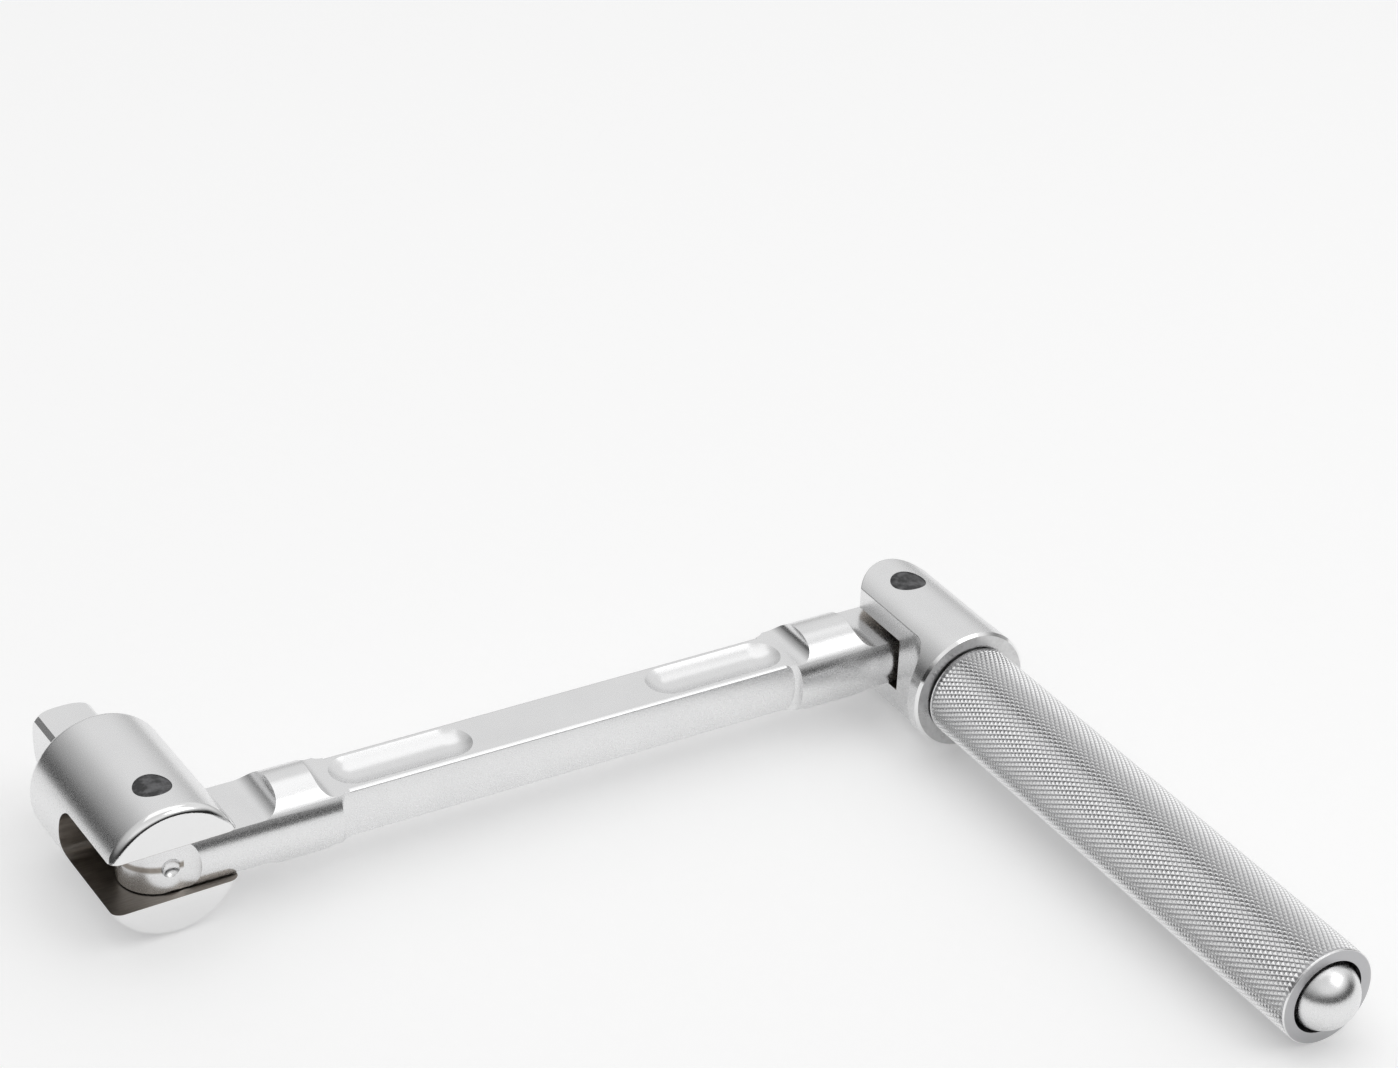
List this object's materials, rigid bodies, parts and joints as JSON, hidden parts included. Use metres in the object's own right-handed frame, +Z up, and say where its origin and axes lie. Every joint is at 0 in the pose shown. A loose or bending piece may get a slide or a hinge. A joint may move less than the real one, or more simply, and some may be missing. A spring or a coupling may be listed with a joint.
{
  "type": "folding crank handle with square drive",
  "caption": "Folding crank handle: square-drive swivel head, fluted flat-sided arm and a hinged handle with a free-spinning knurled grip.",
  "frame": {"origin": "middle of the bounding box's bottom face, on the surface that the tool lies on", "axes": "+X along the arm from the drive head's pivot to the handle's pivot, +Y square to the arm, the way the square drive points at rest to within 1.9 degrees, +Z up along both pivot pins"},
  "size_m": [0.21, 0.2038, 0.0301],
  "materials": {
    "satin_chrome": "satin chrome plate",
    "knurled_chrome": "satin chrome plate over diamond knurling",
    "black_oxide": "black oxide, ground ends",
    "hardened_steel": "ground",
    "spring_steel": "drawn wire",
    "bronze": "sintered",
    "dark_washer": "black oxide"
  },
  "bodies": {
    "arm": {"arm": "satin_chrome"},
    "head": {"drive_head": "satin_chrome", "head_pin": "black_oxide", "head_plunger_spring": "spring_steel", "socket_ball_spring": "spring_steel"},
    "head_detent": {"head_plunger": "hardened_steel"},
    "ball": {"socket_ball": "hardened_steel"},
    "handle": {"handle_fork": "satin_chrome", "handle_pin": "black_oxide", "handle_plunger_spring": "spring_steel", "spindle": "hardened_steel", "thrust_washer": "dark_washer", "end_washer": "dark_washer", "end_button": "satin_chrome"},
    "handle_detent": {"handle_plunger": "hardened_steel"},
    "grip": {"grip_sleeve": "knurled_chrome", "front_bush": "bronze", "rear_bush": "bronze"}
  },
  "joints": [
    {"name": "head_swing", "type": "hinge", "parent": "arm", "child": "head", "pos_m": [-0.08906, 0.05322, 0.01505], "axis": [0, 0, 1], "range_deg": [-11.9, 188.1]},
    {"name": "handle_swing", "type": "hinge", "parent": "arm", "child": "handle", "pos_m": [0.09094, 0.05322, 0.01505], "axis": [0, 0, 1], "range_deg": [-5, 185]},
    {"name": "grip_spin", "type": "hinge", "parent": "handle", "child": "grip", "pos_m": [0.09094, -0.02678, 0.01505], "axis": [0, 1, 0], "continuous": true},
    {"name": "head_detent_slide", "type": "slide", "parent": "head", "child": "head_detent", "axis": [-0.0332, 0.9995, 0], "range_m": [0, 0.0014], "stiffness_N_per_m": 1500, "springref_m": -0.0005, "deforming": ["head_plunger_spring"]},
    {"name": "handle_detent_slide", "type": "slide", "parent": "handle", "child": "handle_detent", "axis": [0, -1, 0], "range_m": [0, 0.0014], "stiffness_N_per_m": 1500, "springref_m": -0.0005, "deforming": ["handle_plunger_spring"]},
    {"name": "ball_slide", "type": "slide", "parent": "head", "child": "ball", "axis": [0, 0, 1], "range_m": [0, 0.0009], "stiffness_N_per_m": 1200, "springref_m": -0.0005, "deforming": ["socket_ball_spring"]}
  ]
}
